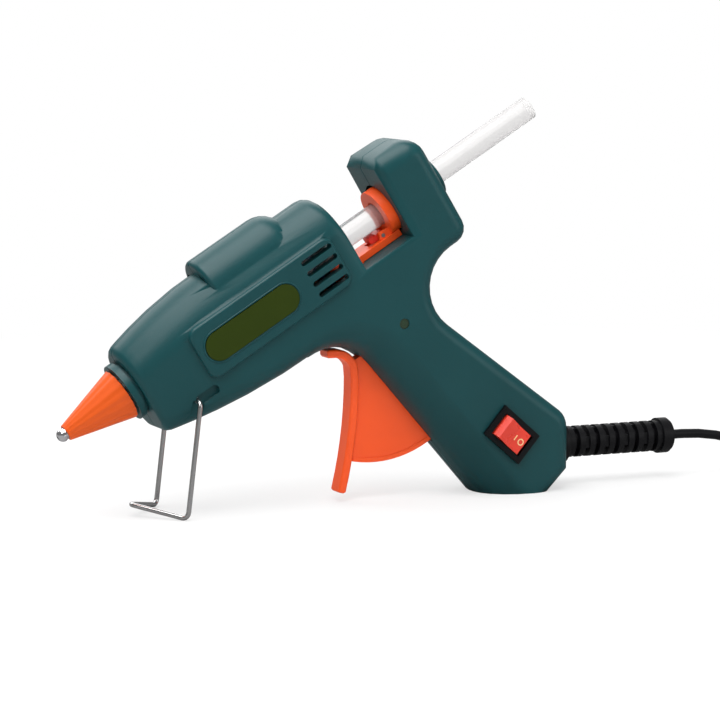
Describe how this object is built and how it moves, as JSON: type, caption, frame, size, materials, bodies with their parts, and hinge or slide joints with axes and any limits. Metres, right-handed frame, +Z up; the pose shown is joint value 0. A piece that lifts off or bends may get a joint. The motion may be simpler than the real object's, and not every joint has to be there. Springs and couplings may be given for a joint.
{
  "type": "glue gun",
  "caption": "Mains hot-glue gun with a fluted nozzle cover, wire stand, hooked trigger, rocker switch, ribbed cord outlet and a glue stick in an open feed window.",
  "frame": {"origin": "middle of the flat end of the handle, on the surface that the gun stands on", "axes": "+X from the nozzle towards the cord, +Y to the side without the switch, +Z up"},
  "size_m": [0.2971, 0.0454, 0.1207],
  "materials": {
    "housing_green": "satin moulded plastic, dark teal",
    "feed_orange": "satin moulded plastic, orange",
    "badge_olive": "bare olive inlay",
    "cord_black": "black flexible plastic",
    "switch_black": "black switch frame",
    "switch_red": "translucent red plastic",
    "lamp_green": "dark tinted lens",
    "nozzle_metal": "polished metal",
    "brass": "plain brass",
    "steel": "bright steel",
    "aluminium": "cast aluminium",
    "ceramic": "sintered ceramic",
    "silicone": "silicone rubber",
    "stick_clear": "translucent hot-melt glue",
    "wire_brown": "insulated wire",
    "wire_blue": "insulated wire"
  },
  "bodies": {
    "housing": {"left_shell": "housing_green", "right_shell": "housing_green", "side_badge": "badge_olive", "case_screws": "steel", "nozzle": "nozzle_metal", "nozzle_cover": "feed_orange", "melt_chamber": "aluminium", "inlet_sleeve": "silicone", "sleeve_clip": "steel", "heater_tablet": "ceramic", "heater_electrodes": "steel", "heater_wedge": "aluminium", "trigger_pin": "steel", "return_spring": "steel", "switch_body": "switch_black", "switch_terminals": "brass", "indicator_lamp": "lamp_green", "switch_lead": "wire_brown", "heater_lead": "wire_brown", "neutral_lead": "wire_blue", "strain_relief": "cord_black", "cord_sheath": "cord_black", "cord_clamp": "housing_green", "clamp_screws": "steel", "power_cord": "cord_black", "cord_coil": "cord_black", "cord_tie": "cord_black", "cord_tail": "cord_black", "plug": "cord_black", "plug_blades": "brass"},
    "trigger": {"trigger": "feed_orange", "drive_pin": "steel"},
    "carriage": {"feed_carriage": "feed_orange", "jaw_pin": "steel"},
    "jaw": {"grip_jaw": "switch_red"},
    "stick": {"glue_stick": "stick_clear"},
    "rocker": {"switch_rocker": "switch_red"},
    "stand": {"wire_stand": "steel"}
  },
  "joints": [
    {"name": "trigger_hinge", "type": "hinge", "parent": "housing", "child": "trigger", "pos_m": [-0.0452, 0, 0.04642], "axis": [0, -1, 0], "range_deg": [0, 28], "stiffness_Nm_per_rad": 0.1, "springref_deg": -11.46},
    {"name": "carriage_slide", "type": "slide", "parent": "housing", "child": "carriage", "axis": [-0.8526, 0, -0.5225], "range_m": [0, 0.00968], "deforming": ["return_spring"]},
    {"name": "jaw_tilt", "type": "hinge", "parent": "carriage", "child": "jaw", "pos_m": [-0.04244, 0, 0.08037], "axis": [0, 1, 0], "range_deg": [0, 4]},
    {"name": "stick_slide", "type": "slide", "parent": "carriage", "child": "stick", "axis": [0.8526, 0, 0.5225], "range_m": [0, 0.06]},
    {"name": "rocker_hinge", "type": "hinge", "parent": "housing", "child": "rocker", "pos_m": [-0.0037, -0.0111, 0.0188], "axis": [-0.6561, 0, -0.7547], "range_deg": [0, 20]},
    {"name": "stand_hinge", "type": "hinge", "parent": "housing", "child": "stand", "pos_m": [-0.1051, 0, 0.0347], "axis": [0, -1, 0], "range_deg": [0, 115]}
  ],
  "couplings": [
    {"joint": "carriage_slide", "follows": "trigger_hinge", "m_per_rad": 0.0198},
    {"joint": "jaw_tilt", "follows": "trigger_hinge", "ratio": 0.1428}
  ]
}
